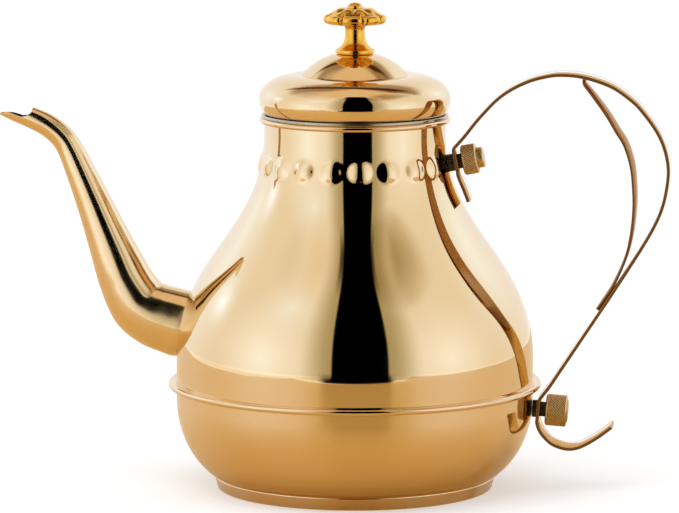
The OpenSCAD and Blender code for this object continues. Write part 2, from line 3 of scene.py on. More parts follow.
import bmesh
import bpy
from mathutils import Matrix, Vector


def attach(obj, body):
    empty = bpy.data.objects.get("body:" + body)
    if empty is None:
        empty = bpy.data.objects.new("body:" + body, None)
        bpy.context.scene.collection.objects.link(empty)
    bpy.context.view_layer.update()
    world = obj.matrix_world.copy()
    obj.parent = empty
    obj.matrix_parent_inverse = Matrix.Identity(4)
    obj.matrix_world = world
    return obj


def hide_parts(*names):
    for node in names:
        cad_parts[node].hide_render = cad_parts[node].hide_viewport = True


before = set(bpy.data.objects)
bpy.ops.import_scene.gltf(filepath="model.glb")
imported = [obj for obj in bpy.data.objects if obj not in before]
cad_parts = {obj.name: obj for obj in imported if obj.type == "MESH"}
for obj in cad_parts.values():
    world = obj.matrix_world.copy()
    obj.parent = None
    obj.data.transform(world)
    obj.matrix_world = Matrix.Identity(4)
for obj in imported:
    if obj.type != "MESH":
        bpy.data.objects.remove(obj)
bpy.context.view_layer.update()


# ---- foot cap and lower bowl ---------------------------------------------
# The bowl is spun from 0.7 mm stainless sheet over a round former, which leaves
# faint rings. A shallow cap is pressed over its base. Both are mirror-polished,
# then coated gold in a vacuum, so they mirror the room in a warm colour.

MM = 0.001
CREASE = 32
SHEET = 0.7
BELLY_R = 67.6
SEAM_Z = 40.0
BOWL_Z = 34.0
BOWL_HALF = (27.6, 33.1)
FOOT_H = 5.2
FOOT_INSET = 0.2
FOOT_FLARE = 1.1
FOOT_EDGE = 1.0
FOOT_LIP = 0.5


def linear(code, alpha=1.0):
    """An sRGB colour such as 'E4C18F' as linear light."""
    shares = [int(code[k:k + 2], 16) / 255 for k in (0, 2, 4)]
    return [s / 12.92 if s <= 0.04045 else ((s + 0.055) / 1.055) ** 2.4 for s in shares] + [alpha]


def arc(centre, half, start, end, count):
    """Points along an ellipse's arc, its angles in degrees."""
    points = []
    for k in range(count + 1):
        turn = math.radians(start + (end - start) * k / count)
        points.append((centre[0] + half[0] * math.cos(turn), centre[1] + half[1] * math.sin(turn)))
    return points


def spin(profile, steps=320, shape=None):
    """Turns a closed loop of (radius, height) about the pot's axis; shape may move each point."""
    points, rings = [], []
    for radius, height in profile:
        count = steps if radius > 1e-6 else 1
        rings.append((len(points), count))
        for k in range(count):
            turn = 2 * math.pi * k / steps
            r, z = shape(radius, height, turn) if shape else (radius, height)
            points.append((r * math.cos(turn), r * math.sin(turn), z))
    faces = []
    for (low, low_count), (high, high_count) in zip(rings, rings[1:] + rings[:1]):
        for k in range(steps):
            j = (k + 1) % steps
            if low_count == 1 and high_count == 1:
                break
            if low_count == 1:
                faces.append((low, high + j, high + k))
            elif high_count == 1:
                faces.append((low + k, low + j, high))
            else:
                faces.append((low + k, low + j, high + j, high + k))
    return points, faces


def make(name, points, faces, body, slot, finish, stands_for=(), crease=CREASE):
    """One piece from points in millimetres, shaded smooth with true edges, riding on its body."""
    mesh = bpy.data.meshes.new(name)
    mesh.from_pydata([Vector(p) * MM for p in points], [], faces)
    shell = bmesh.new()
    shell.from_mesh(mesh)
    bmesh.ops.remove_doubles(shell, verts=shell.verts, dist=1e-7)
    bmesh.ops.recalc_face_normals(shell, faces=shell.faces)
    shell.to_mesh(mesh)
    shell.free()
    mesh.shade_smooth()
    mesh.set_sharp_from_angle(angle=math.radians(crease))
    mesh.materials.append(finish)
    piece = bpy.data.objects.new(name, mesh)
    bpy.context.scene.collection.objects.link(piece)
    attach(piece, body)
    if stands_for:
        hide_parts(*stands_for)
    return piece


def add(tree, kind, inputs=None, **settings):
    """Adds one node; an input is a value, or another node's output to link."""
    node = tree.nodes.new("ShaderNode" + kind)
    for name, value in settings.items():
        setattr(node, name, value)
    for name, value in (inputs or {}).items():
        if isinstance(value, bpy.types.NodeSocket):
            tree.links.new(value, node.inputs[name])
        else:
            node.inputs[name].default_value = value
    return node


def material(name):
    """A new material, its node tree and its surface shader."""
    made = bpy.data.materials.new(name)
    made.use_nodes = True
    return made, made.node_tree, made.node_tree.nodes["Principled BSDF"]


def gold_coated_steel(name, colour, haze, ring_mm, ring_depth):
    """Mirror-polished stainless steel with a gold vacuum coating; sizes in mm.

    It gives a sharp warm mirror, broken a little by spinning rings, slow waves and wiped haze.
    """
    made, tree, surface = material(name)
    place = add(tree, "TexCoord").outputs["Object"]
    # the coating's thickness drifts a little, and its hue with it
    drift = add(tree, "TexNoise", {"Vector": place, "Scale": 14.0, "Detail": 2.0})
    tint = add(tree, "Mix", {"Factor": drift.outputs["Fac"], "A": linear(colour[0]),
                             "B": linear(colour[1])}, data_type="RGBA")
    tree.links.new(tint.outputs["Result"], surface.inputs["Base Color"])
    # haze from wiping, in patches a few centimetres across
    wiped = add(tree, "TexNoise", {"Vector": place, "Scale": 38.0, "Detail": 6.0, "Roughness": 0.62})
    rough = add(tree, "MapRange", {"Value": wiped.outputs["Fac"], "From Min": 0.35, "From Max": 0.75,
                                   "To Min": haze[0], "To Max": haze[1]})
    tree.links.new(rough.outputs["Result"], surface.inputs["Roughness"])
    # rings left by the spinning tool, drawn coarser than the real 0.2 mm so that they show
    squeeze = add(tree, "Mapping", {"Vector": place, "Scale": (4.0, 4.0, 1.0 / (ring_mm * MM))})
    rings = add(tree, "TexNoise", {"Vector": squeeze.outputs["Vector"], "Scale": 1.0, "Detail": 2.0})
    groove = add(tree, "Bump", {"Height": rings.outputs["Fac"], "Strength": 1.0,
                                "Distance": ring_depth * MM})
    # slow waves of the sheet
    waves = add(tree, "TexNoise", {"Vector": place, "Scale": 30.0, "Detail": 0.0})
    sheet = add(tree, "Bump", {"Height": waves.outputs["Fac"], "Strength": 1.0, "Distance": 0.02 * MM,
                               "Normal": groove.outputs["Normal"]})
    tree.links.new(sheet.outputs["Normal"], surface.inputs["Normal"])
    surface.inputs["Metallic"].default_value = 1.0
    return made


# colours of the coating, thinner and thicker
GOLD = ("EBCFA2", "E6C796")
bowl_gold = gold_coated_steel("gold coated stainless steel, spun bowl", GOLD, (0.05, 0.13), 0.9, 0.0012)


def bowl_arc(inset, bottom, count):
    """The bowl's section from height bottom up to its widest circle, moved in by inset."""
    half = (BOWL_HALF[0] - inset, BOWL_HALF[1] - inset)
    start = -math.degrees(math.asin((BOWL_Z - bottom) / half[1]))
    return arc((BELLY_R - BOWL_HALF[0], BOWL_Z), half, start, 0, count)


foot_top = bowl_arc(0, FOOT_H, 1)[0][0] - FOOT_INSET
foot_low = foot_top - FOOT_FLARE
make("Lower_bowl",
     *spin([(0, FOOT_H)] + bowl_arc(0, FOOT_H, 60)
           + [(BELLY_R, BOWL_Z + 2), (BELLY_R, SEAM_Z - 2), (BELLY_R, SEAM_Z),
              (BELLY_R - SHEET, SEAM_Z), (BELLY_R - SHEET, BOWL_Z + 2)]
           + bowl_arc(SHEET, FOOT_H + SHEET, 40)[::-1] + [(0, FOOT_H + SHEET)]),
     "pot", "gold_steel", bowl_gold, ["lower_shell"])
make("Foot_cap",
     *spin([(0, 0)] + arc((foot_low - FOOT_EDGE, FOOT_EDGE), (FOOT_EDGE, FOOT_EDGE), -90, -8, 8)
           + [(foot_top - 0.15, FOOT_H - FOOT_LIP)]
           + arc((foot_top - FOOT_LIP, FOOT_H - FOOT_LIP), (FOOT_LIP, FOOT_LIP), 0, 90, 4)
           + [(foot_top - SHEET - 0.4, FOOT_H), (foot_low - SHEET, SHEET), (0, SHEET)]),
     "pot", "gold_steel", bowl_gold, ["base_cap"])


# ---- heat-spreading disc --------------------------------------------------
# A plain aluminium disc is brazed between the bowl and the cap. It is punched
# from rolled sheet, so it keeps a matt grey face with the roll's fine streaks.

# pale grey and matt, streaked one way
rolled_aluminium, tree, surface = material("aluminium, rolled")
place = add(tree, "TexCoord").outputs["Object"]
along = add(tree, "Mapping", {"Vector": place, "Scale": (60.0, 2500.0, 60.0)})
streak = add(tree, "TexNoise", {"Vector": along.outputs["Vector"], "Scale": 1.0, "Detail": 3.0})
tone = add(tree, "Mix", {"Factor": streak.outputs["Fac"], "A": linear("B4B6B8"), "B": linear("D2D3D4")},
           data_type="RGBA")
tree.links.new(tone.outputs["Result"], surface.inputs["Base Color"])
surface.inputs["Metallic"].default_value = 1.0
surface.inputs["Roughness"].default_value = 0.42


def refinish(node, finish):
    """Gives a CAD node that stays in view its finish."""
    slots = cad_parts[node].data.materials
    slots.clear()
    slots.append(finish)


refinish("base_disc", rolled_aluminium)


# ---- rolled seam ----------------------------------------------------------
# The edges of the bowl and the upper body are folded over each other and rolled
# into a thin bead that stands proud of the belly. It is polished with the body.

SEAM_W = 3.1
SEAM_T = 2.3
FOLD_HALF = 0.55
seam_gold = gold_coated_steel("gold coated stainless steel, rolled edge", ("E9CBA0", "E4C293"),
                              (0.07, 0.12), 4, 0.0004)
bead_r = SEAM_T / 2
make("Rolled_seam",
     *spin([(BELLY_R, SEAM_Z - FOLD_HALF), (BELLY_R + 0.5, SEAM_Z - FOLD_HALF - 0.2)]
           + arc((BELLY_R + SEAM_W - bead_r, SEAM_Z), (bead_r, bead_r), -125, 125, 20)
           + [(BELLY_R + 0.5, SEAM_Z + FOLD_HALF + 0.2), (BELLY_R, SEAM_Z + FOLD_HALF)]),
     "pot", "gold_steel", seam_gold, ["seam_ring"])


# ---- upper body -----------------------------------------------------------
# The pear-shaped body is drawn and spun from one sheet. A ring of bosses is
# pressed out of its neck from inside. The coating is the bowl's, and here the
# polish is at its best: it mirrors the room with hardly any haze.

BELLY_TOP = 50.0
NECK_R = 34.3
NECK_Z = 135.0
NECK_TOP = 141.4
SHOULDER = ((BELLY_R, BELLY_TOP), (BELLY_R, 88.25), (NECK_R, 98.025), (NECK_R, NECK_Z))
BOSS_Z = 124.2
BOSS_R = 4.7
BOSS_H = 1.2
BOSS_COUNT = 20
BOSS_TURN = 9.0
STRAIGHT = 6.5


def bezier(corners, share):
    """Point and direction of a cubic curve."""
    a, b, c, d = (Vector(p) for p in corners)
    rest = 1 - share
    point = rest ** 3 * a + 3 * rest ** 2 * share * b + 3 * rest * share ** 2 * c + share ** 3 * d
    heading = rest ** 2 * (b - a) + 2 * rest * share * (c - b) + share ** 2 * (d - c)
    return point, heading.normalized()


def shoulder_line(inset, count):
    """The shoulder's section, moved in by inset."""
    line = []
    for k in range(count + 1):
        point, heading = bezier(SHOULDER, k / count)
        line.append((point.x - inset * heading.y, point.y + inset * heading.x))
    return line


def shoulder_at(height):
    """Point and outward direction of the shoulder at a height."""
    low, high = 0.0, 1.0
    for _ in range(40):
        middle = (low + high) / 2
        if bezier(SHOULDER, middle)[0].y < height:
            low = middle
        else:
            high = middle
    point, heading = bezier(SHOULDER, low)
    return point, Vector((heading.y, -heading.x))


boss_out = shoulder_at(BOSS_Z)[1]
boss_turns = [math.radians(BOSS_TURN - 90 + 360 / BOSS_COUNT * k) for k in range(BOSS_COUNT)]
boss_turns = [a for a in boss_turns if abs(math.degrees(a)) > 0.55 * 360 / BOSS_COUNT]


def embossed(radius, height, turn):
    """Lifts a point of the wall where a boss is pressed out of it."""
    rise = (height - BOSS_Z) / boss_out.x
    if abs(rise) > BOSS_R:
        return radius, height
    for boss in boss_turns:
        swing = (turn - boss + math.pi) % (2 * math.pi) - math.pi
        share = math.hypot(swing * radius, rise) / BOSS_R
        if share < 1:
            lift = BOSS_H * (1 - share ** 2) ** 1.35
            return radius + lift * boss_out.x, height + lift * boss_out.y
    return radius, height


body_gold = gold_coated_steel("gold coated stainless steel, drawn body", GOLD, (0.025, 0.06),
                              1.2, 0.0003)
make(
    "Upper_body",
    *spin([(BELLY_R, SEAM_Z), (BELLY_R, SEAM_Z + STRAIGHT / 2), (BELLY_R, SEAM_Z + STRAIGHT)]
          + shoulder_line(0, 150)
          + [(NECK_R, NECK_Z + 3), (NECK_R, NECK_TOP), (NECK_R - SHEET, NECK_TOP)]
          + shoulder_line(SHEET, 110)[::-1]
          + [(BELLY_R - SHEET, SEAM_Z + STRAIGHT), (BELLY_R - SHEET, SEAM_Z)],
          steps=400, shape=embossed),
    "pot", "gold_steel", body_gold, ["upper_shell"])


# ---- rim and mouth ring ---------------------------------------------------
# The neck's top is rolled out into a bead, coated like the body. A ring of bare
# polished steel is pressed into the neck and laps over the bead, to carry the lid.

BEAD_R = 1.0
MOUTH_T = 1.2
MOUTH_R = NECK_R - SHEET - MOUTH_T / 2
MOUTH_FLANGE = NECK_R + BEAD_R
MOUTH_TOP = NECK_TOP + MOUTH_T
MOUTH_DEEP = 8.0
MOUTH_EDGE = 0.3

make("Rolled_rim",
     *spin([(NECK_R, NECK_TOP - 2 * BEAD_R)]
           + arc((NECK_R + BEAD_R - 0.2, NECK_TOP - BEAD_R), (BEAD_R, BEAD_R), -90, 90, 16)
           + [(NECK_R, NECK_TOP)]),
     "pot", "gold_steel", seam_gold, ["neck_rim"])


def bare_steel(name, colour, haze):
    """Polished stainless steel without the coating: a grey mirror with a trace of warmth."""
    made, tree, surface = material(name)
    place = add(tree, "TexCoord").outputs["Object"]
    cloud = add(tree, "TexNoise", {"Vector": place, "Scale": 120.0, "Detail": 4.0})
    tone = add(tree, "Mix", {"Factor": cloud.outputs["Fac"], "A": linear(colour[0]),
                             "B": linear(colour[1])}, data_type="RGBA")
    tree.links.new(tone.outputs["Result"], surface.inputs["Base Color"])
    rough = add(tree, "MapRange", {"Value": cloud.outputs["Fac"], "To Min": haze[0], "To Max": haze[1]})
    tree.links.new(rough.outputs["Result"], surface.inputs["Roughness"])
    surface.inputs["Metallic"].default_value = 1.0
    return made


ring_steel = bare_steel("stainless steel, polished", ("B09C82", "C8B79E"), (0.1, 0.22))
make("Mouth_ring",
     *spin([(MOUTH_R, NECK_TOP - MOUTH_DEEP), (MOUTH_R + MOUTH_T / 2, NECK_TOP - MOUTH_DEEP),
            (MOUTH_R + MOUTH_T / 2, NECK_TOP), (MOUTH_FLANGE - MOUTH_EDGE, NECK_TOP)]
           + arc((MOUTH_FLANGE - MOUTH_EDGE, NECK_TOP + MOUTH_T / 2), (MOUTH_EDGE, MOUTH_T / 2),
                 -80, 80, 8)
           + [(MOUTH_FLANGE - MOUTH_EDGE, MOUTH_TOP), (MOUTH_R + MOUTH_EDGE, MOUTH_TOP),
              (MOUTH_R, MOUTH_TOP - MOUTH_EDGE)]),
     "pot", "bare_steel", ring_steel, ["mouth_ring"])


# ---- spout and strainer ---------------------------------------------------
# The spout is a tapering tube, drawn and bent in one piece, cut to a beak at its
# tip and brazed over a strainer of punched holes in the belly. It is polished
# and coated with the body.

SPOUT_Z = 61.5
SPOUT_ROOT_R = 13.0
SPOUT_TIP_R = 4.1
SPOUT_REACH = 70.6
SPOUT_RISE = 79.8
SPOUT_BITE = 0.05  # how far the root reaches into the wall
spout_root = shoulder_at(SPOUT_Z)[0].x
spout_tip = (-spout_root - SPOUT_REACH, SPOUT_Z + SPOUT_RISE)
# share of reach, share of rise, share of the taper still to go
SPOUT_STATIONS = (
    (0, 0, 1), (0.053, 0.014, 0.97), (0.135, 0.038, 0.925), (0.21, 0.08, 0.86), (0.259, 0.139, 0.78),
    (0.298, 0.205, 0.69), (0.333, 0.277, 0.615), (0.397, 0.417, 0.447), (0.461, 0.557, 0.305),
    (0.527, 0.695, 0.19), (0.598, 0.833, 0.085), (0.644, 0.891, 0.05), (0.711, 0.939, 0.025),
    (0.787, 0.972, 0), (0.898, 1.008, -0.06), (0.985, 1.037, -0.12), (1.061, 1.062, -0.2),
)


def through(stations, count):
    """Smooth curve through the stations, with count pieces between each two."""
    line = []
    for i in range(len(stations) - 1):
        a, b, c, d = (Vector(stations[min(max(i + k, 0), len(stations) - 1)]) for k in (-1, 0, 1, 2))
        for k in range(count + (i == len(stations) - 2)):
            t = k / count
            line.append(0.5 * (2 * b + (c - a) * t + (2 * a - 5 * b + 4 * c - d) * t ** 2
                               + (3 * b - a - 3 * c + d) * t ** 3))
    return line


def headings(line):
    """Direction of a line in the XZ plane at each of its points."""
    found = []
    for i in range(len(line)):
        way = line[min(i + 1, len(line) - 1)] - line[max(i - 1, 0)]
        found.append(Vector((way[0], way[1])).normalized())
    return found


def body_radius(height):
    """Outside radius of the body at a height on the belly or the shoulder."""
    return BELLY_R if height < BELLY_TOP else shoulder_at(height)[0].x


spout_line = through([(-spout_root - s * SPOUT_REACH, SPOUT_Z + rise * SPOUT_RISE,
                       SPOUT_TIP_R + taper * (SPOUT_ROOT_R - SPOUT_TIP_R))
                      for s, rise, taper in SPOUT_STATIONS], 6)
SIDES = 72


def tube_rings(inset):
    """Rings of the spout's outer or inner wall; the first is trimmed to the belly."""
    rings = []
    for i, (at, way) in enumerate(zip(spout_line, headings(spout_line))):
        ring = []
        for k in range(SIDES):
            turn = 2 * math.pi * k / SIDES
            radius = at[2] - inset
            x = at[0] + radius * math.cos(turn) * way.y
            y = radius * math.sin(turn)
            z = at[1] - radius * math.cos(turn) * way.x
            if i == 0:
                x = -math.sqrt(body_radius(z) ** 2 - y ** 2) + SPOUT_BITE
            ring.append((x, y, z))
        rings.append(ring)
    return rings


def tube(wall):
    """Closed tube with an outer and an inner wall."""
    rings = tube_rings(0) + tube_rings(wall)[::-1]
    points = [p for ring in rings for p in ring]
    faces = []
    for i in range(len(rings)):
        j = (i + 1) % len(rings)
        for k in range(SIDES):
            n = (k + 1) % SIDES
            faces.append((i * SIDES + k, i * SIDES + n, j * SIDES + n, j * SIDES + k))
    return points, faces


spout_gold = gold_coated_steel("gold coated stainless steel, drawn spout", GOLD, (0.12, 0.19),
                               2.5, 0.0004)
spout = make("Spout", *tube(SHEET), "pot", "gold_steel", spout_gold, ["spout"])

# the beak is cut with one curved cut, seen from the side
BEAK = through([(-1.2, 0.1), (5.2, 0.1), (8, -0.5), (10.2, -1.1), (12.4, -0.6), (14, 0.5),
                (14.4, 2)], 8)
beak_outline = [(-12, 0.2)] + [tuple(p) for p in BEAK] + [(12, 14), (-12, 14)]
half_w = 2 * SPOUT_TIP_R
count = len(beak_outline)
cut_points = [(spout_tip[0] + x, side, spout_tip[1] + z)
              for side in (-half_w, half_w) for x, z in beak_outline]
cut_faces = [tuple(range(count)), tuple(range(count, 2 * count))[::-1]]
cut_faces += [(k, (k + 1) % count, count + (k + 1) % count, count + k) for k in range(count)]
cut_mesh = bpy.data.meshes.new("beak cut")
cut_mesh.from_pydata([Vector(p) * MM for p in cut_points], [], cut_faces)
cutter = bpy.data.objects.new("beak cut", cut_mesh)
bpy.context.scene.collection.objects.link(cutter)


def carve(piece, tool):
    """Cuts tool's solid out of piece and removes the tool."""
    solid = bmesh.new()
    solid.from_mesh(tool.data)
    bmesh.ops.recalc_face_normals(solid, faces=solid.faces)
    solid.to_mesh(tool.data)
    solid.free()
    cut = piece.modifiers.new("cut", "BOOLEAN")
    cut.object = tool
    cut.operation = "DIFFERENCE"
    cut.solver = "EXACT"
    bpy.context.view_layer.update()
    shaped = bpy.data.meshes.new_from_object(piece.evaluated_get(bpy.context.evaluated_depsgraph_get()))
    shaped.name = piece.name
    piece.modifiers.clear()
    piece.data = shaped
    shaped.shade_smooth()
    shaped.set_sharp_from_angle(angle=math.radians(CREASE))
    bpy.data.objects.remove(tool)


carve(spout, cutter)
refinish("spout_strainer", ring_steel)


# ---- studs and insulating spacers -----------------------------------------
# A threaded steel stud is welded to the neck and another to the bowl. On each,
# a black phenolic sleeve keeps the hot wall away from the handle's strap.

refinish("upper_stud", ring_steel)
refinish("lower_stud", ring_steel)
# deep black with a dull sheen and a fine grit
black_phenolic, tree, surface = material("phenolic, moulded black")
place = add(tree, "TexCoord").outputs["Object"]
grit = add(tree, "TexNoise", {"Vector": place, "Scale": 2500.0, "Detail": 2.0})
tone = add(tree, "Mix", {"Factor": grit.outputs["Fac"], "A": linear("120F0E"), "B": linear("241F1C")},
           data_type="RGBA")
tree.links.new(tone.outputs["Result"], surface.inputs["Base Color"])
pores = add(tree, "Bump", {"Height": grit.outputs["Fac"], "Strength": 0.5, "Distance": 0.03 * MM})
tree.links.new(pores.outputs["Normal"], surface.inputs["Normal"])
surface.inputs["Roughness"].default_value = 0.38
surface.inputs["IOR"].default_value = 1.55
refinish("upper_spacer", black_phenolic)
refinish("lower_spacer", black_phenolic)


# ---- strap handle ---------------------------------------------------------
# One strip of steel, 14 mm wide, is bent into the loop and both tails. Its faces
# are polished and bronze-coloured, and its sheared edges stay duller and darker.

STRAP_W = 14.0
STRAP_T = 1.25
STRAP_EDGE_R = 0.3
SPACER_HI = 2.9
SPACER_LO = 1.9
FLAT = 3.4
TAIL = 14.5
LOOP_REACH = 79.6
LOOP_RISE = 33.7
RUN_LENGTH = 34.2
RUN_TURN = math.radians(56.8)
BEND_OUT = 7.3
BEND_RISE = 13.9
CURL_REACH = 27.9
CURL_DROP = 14.2
LO_TURN = math.radians(-4.9)

hi_point, hi_out = shoulder_at(BOSS_Z)
lo_point = Vector((BELLY_R - BOWL_HALF[0] + BOWL_HALF[0] * math.cos(LO_TURN),
                   BOWL_Z + BOWL_HALF[1] * math.sin(LO_TURN)))
lo_out = Vector((math.cos(LO_TURN) / BOWL_HALF[0], math.sin(LO_TURN) / BOWL_HALF[1])).normalized()
hi_seat = hi_point + (SPACER_HI + STRAP_T / 2) * hi_out
lo_seat = lo_point + (SPACER_LO + STRAP_T / 2) * lo_out
hi_down = Vector((hi_out.y, -hi_out.x))
lo_down = Vector((lo_out.y, -lo_out.x))
loop_corner = Vector((hi_seat.x + LOOP_REACH, hi_seat.y + LOOP_RISE))
run_up = Vector((math.cos(RUN_TURN), math.sin(RUN_TURN)))
run_top = lo_seat + Vector((BEND_OUT, BEND_RISE)) + RUN_LENGTH * run_up


def scaled(origin, width, height, shares):
    """Points given as shares of a width and a height from an origin."""
    return [origin + Vector((x * width, z * height)) for x, z in shares]


def far_side(shares):
    """Points of the loop's far side: shares of its reach inwards and of its drop to the straight run."""
    return scaled(loop_corner, -LOOP_REACH, run_top.y - loop_corner.y, shares)


tail = (scaled(hi_seat, TAIL, TAIL, [(0.327, -1), (0.228, -0.737)])
        + [hi_seat + (FLAT + 2) * hi_down, hi_seat + FLAT * hi_down])
loop = ([hi_seat - FLAT * hi_down]
        + scaled(hi_seat, LOOP_REACH, LOOP_RISE, [
            (-0.012, 0.14), (-0.007, 0.176), (0.01, 0.221), (0.045, 0.317), (0.095, 0.469),
            (0.137, 0.582), (0.193, 0.718), (0.259, 0.831), (0.339, 0.923), (0.414, 0.975),
            (0.489, 0.999)])
        + far_side([(0.402, 0.009), (0.273, 0.048), (0.178, 0.107), (0.123, 0.158), (0.057, 0.242),
                    (0.019, 0.318), (0, 0.401), (0.003, 0.477), (0.024, 0.575), (0.064, 0.667),
                    (0.137, 0.787)])
        + [run_top])
bend = (scaled(lo_seat, BEND_OUT, BEND_RISE, [(1, 1), (0.586, 0.668), (0.257, 0.44), (0.093, 0.324)])
        + [lo_seat - FLAT * lo_down])
curl = ([lo_seat + FLAT * lo_down, lo_seat + (FLAT + 0.9) * lo_down]
        + scaled(lo_seat, CURL_REACH, CURL_DROP, [
            (0.015, -0.473), (0.079, -0.665), (0.184, -0.858), (0.299, -0.957), (0.414, -1),
            (0.528, -0.972), (0.644, -0.875), (0.81, -0.678), (1, -0.394)]))
strap_line = [p for stretch in (tail, loop, bend, curl) for p in through(stretch, 10)]


def rounded_strip(width, thickness, radius):
    """Cross-section (across, out) of a strip with rounded edges."""
    section = []
    for across, out, start in ((1, 1, 0), (-1, 1, 90), (-1, -1, 180), (1, -1, 270)):
        section += arc((across * (width / 2 - radius), out * (thickness / 2 - radius)),
                       (radius, radius), start, start + 90, 4)
    return section


def sweep(line, sections):
    """Solid along a line in the XZ plane; sections give (across, out) points at each of its points."""
    points, faces = [], []
    size = len(sections[0])
    for at, way, section in zip(line, headings(line), sections):
        points += [(at[0] - out * way.y, across, at[1] + out * way.x) for across, out in section]
    for i in range(len(line) - 1):
        for k in range(size):
            n = (k + 1) % size
            faces.append((i * size + k, i * size + n, (i + 1) * size + n, (i + 1) * size + k))
    last = (len(line) - 1) * size
    half = size // 2
    for k in range(half - 1):
        pair = (k, k + 1, size - 2 - k, size - 1 - k)
        faces += [pair, tuple(last + p for p in pair[::-1])]
    return points, faces


def bronzed_steel(name, light, dark, slant_tint, haze, grazing):
    """Bronze-coloured polished steel with brown sheared edges.

    It gives a warm mirror with a painted sheen: its colour is painted paler, by the share grazing, where
    a face is seen nearly edge-on.
    """
    made, tree, surface = material(name)
    place = add(tree, "TexCoord").outputs["Object"]
    # painted sheen: how far the colour is painted paler towards white, as the view comes nearly edge-on
    slant = add(tree, "LayerWeight", {"Blend": 0.5})
    painted_sheen = add(tree, "MapRange", {"Value": slant.outputs["Facing"], "From Min": 0.87,
                                  "From Max": 0.895, "To Max": grazing})
    facing = add(tree, "SeparateXYZ", {"Vector": add(tree, "NewGeometry").outputs["True Normal"]})
    edge = add(tree, "Math", {0: facing.outputs["Y"]}, operation="ABSOLUTE")
    oxide = add(tree, "MapRange", {"Value": edge.outputs["Value"], "From Min": 0.6, "From Max": 0.9})
    # the sheared edges are darker and duller, except under the painted sheen
    sheared = add(tree, "Math", {0: oxide.outputs["Result"], 1: painted_sheen.outputs["Result"]},
                  operation="SUBTRACT", use_clamp=True)
    # polishing scratches run across the strip, drawn at 1 mm
    scratch_map = add(tree, "Mapping", {"Vector": place, "Scale": (900.0, 30.0, 900.0)})
    scratch = add(tree, "TexNoise", {"Vector": scratch_map.outputs["Vector"], "Scale": 1.0,
                                     "Detail": 4.0})
    bronze = add(tree, "Mix", {"Factor": scratch.outputs["Fac"], "A": linear(dark), "B": linear(light)},
                 data_type="RGBA")
    duller = add(tree, "Mix", {"Factor": sheared.outputs["Value"], "A": bronze.outputs["Result"],
                               "B": linear("835A2C")}, data_type="RGBA")
    # painted sheen: the colour paled towards white where a face is seen nearly edge-on
    sheen_paled = add(tree, "Mix", {"Factor": painted_sheen.outputs["Result"], "A": duller.outputs["Result"],
                             "B": (1, 1, 1, 1)}, data_type="RGBA")
    tree.links.new(sheen_paled.outputs["Result"], surface.inputs["Base Color"])
    rough = add(tree, "MapRange", {"Value": scratch.outputs["Fac"], "To Min": haze[0], "To Max": haze[1]})
    rougher = add(tree, "Mix", {"Factor": sheared.outputs["Value"], "A": rough.outputs["Result"],
                                "B": 0.32}, data_type="FLOAT")
    tree.links.new(rougher.outputs["Result"], surface.inputs["Roughness"])
    metal = add(tree, "MapRange", {"Value": sheared.outputs["Value"], "To Min": 1.0, "To Max": 0.5})
    tree.links.new(metal.outputs["Result"], surface.inputs["Metallic"])
    # the specular tint stays warm, and turns white where the painted sheen lies
    warm = add(tree, "Mix", {"Factor": painted_sheen.outputs["Result"], "A": linear(slant_tint),
                             "B": (1, 1, 1, 1)}, data_type="RGBA")
    tree.links.new(warm.outputs["Result"], surface.inputs["Specular Tint"])
    return made


bronzed = bronzed_steel("stainless steel, polished and bronze-coloured",
                        "D6A960", "BE8E4A", "F0D8BC", (0.06, 0.12), 1.0)
make("Strap_handle",
     *sweep(strap_line, [rounded_strip(STRAP_W, STRAP_T, STRAP_EDGE_R)] * len(strap_line)),
     "pot", "bronzed_strap", bronzed, ["handle_strap"])


# ---- grip leaf ------------------------------------------------------------
# A second, leaf-shaped strip is dished across its width and spot-welded inside
# the loop, so that the hand meets a broad smooth grip. The strap's bronze colour
# has been rubbed hazy on it.

GRIP_W = 16.5
GRIP_T = 1.2
GRIP_DISH = 0.9
GRIP_LAP = 5.5
GRIP_STEPS = 8
GRIP_COLUMNS = 12
WELD_GAP = 0.03

run_side = Vector((-run_up.y, run_up.x))
grip_gap = (STRAP_T + GRIP_T) / 2 + WELD_GAP
grip_end = run_top + grip_gap * run_side
grip_stations = far_side([
    (0.401, 0.023), (0.398, 0.046), (0.361, 0.09), (0.296, 0.172), (0.247, 0.247), (0.206, 0.31),
    (0.176, 0.399), (0.164, 0.497), (0.162, 0.591), (0.173, 0.704), (0.199, 0.812)])
grip_stations += [grip_end + 1.2 * GRIP_LAP * run_up + 0.2 * grip_gap * run_side,
                  grip_end, grip_end - GRIP_LAP * run_up]
grip_line = through(grip_stations, GRIP_STEPS)
steps = len(grip_line) - 1
# the dish ends above the flat foot that is welded to the strap
dish_steps = steps * 10 / (len(grip_stations) - 1)
columns = [k / GRIP_COLUMNS - 0.5 for k in range(GRIP_COLUMNS + 1)]


def leaf_section(i):
    """Cross-section (across, out) of the leaf at a step: dished, narrower towards both ends."""
    width = GRIP_W * math.sin(math.pi * min(1.0, 0.06 + 0.9 * i / steps)) ** 0.55
    dish = GRIP_DISH * max(0.0, math.sin(math.pi * min(1.0, i / dish_steps))) ** 0.8
    section = []
    for side, row in ((1, [-share for share in columns]), (-1, columns)):
        for share in row:
            bulge = dish * (1 - (2 * share) ** 2)
            thin = 1 - 0.45 * abs(2 * share) ** 12
            section.append((share * width, bulge + side * GRIP_T / 2 * thin))
    return section


leaf_sections = [leaf_section(i) for i in range(steps + 1)]
# hazier and paler than the strap, with hardly any mirroring
rubbed = bronzed_steel("stainless steel, bronze-coloured and rubbed",
                       "C29C74", "A07C50", "ECCDB4", (0.2, 0.3), 0.15)
make("Grip_leaf", *sweep(grip_line, leaf_sections), "pot", "bronzed_strap", rubbed, ["grip_leaf"])


# ---- bushes and thumb nuts ------------------------------------------------
# Outside the strap each stud carries a ribbed phenolic bush and a thumb nut
# turned from brass bar, its drum knurled in a fine diamond pattern for the
# fingers. The lacquer has yellowed. Shade is painted into the knurl's valleys,
# so the flat faces look brighter.

refinish("upper_bush", black_phenolic)
refinish("lower_bush", black_phenolic)
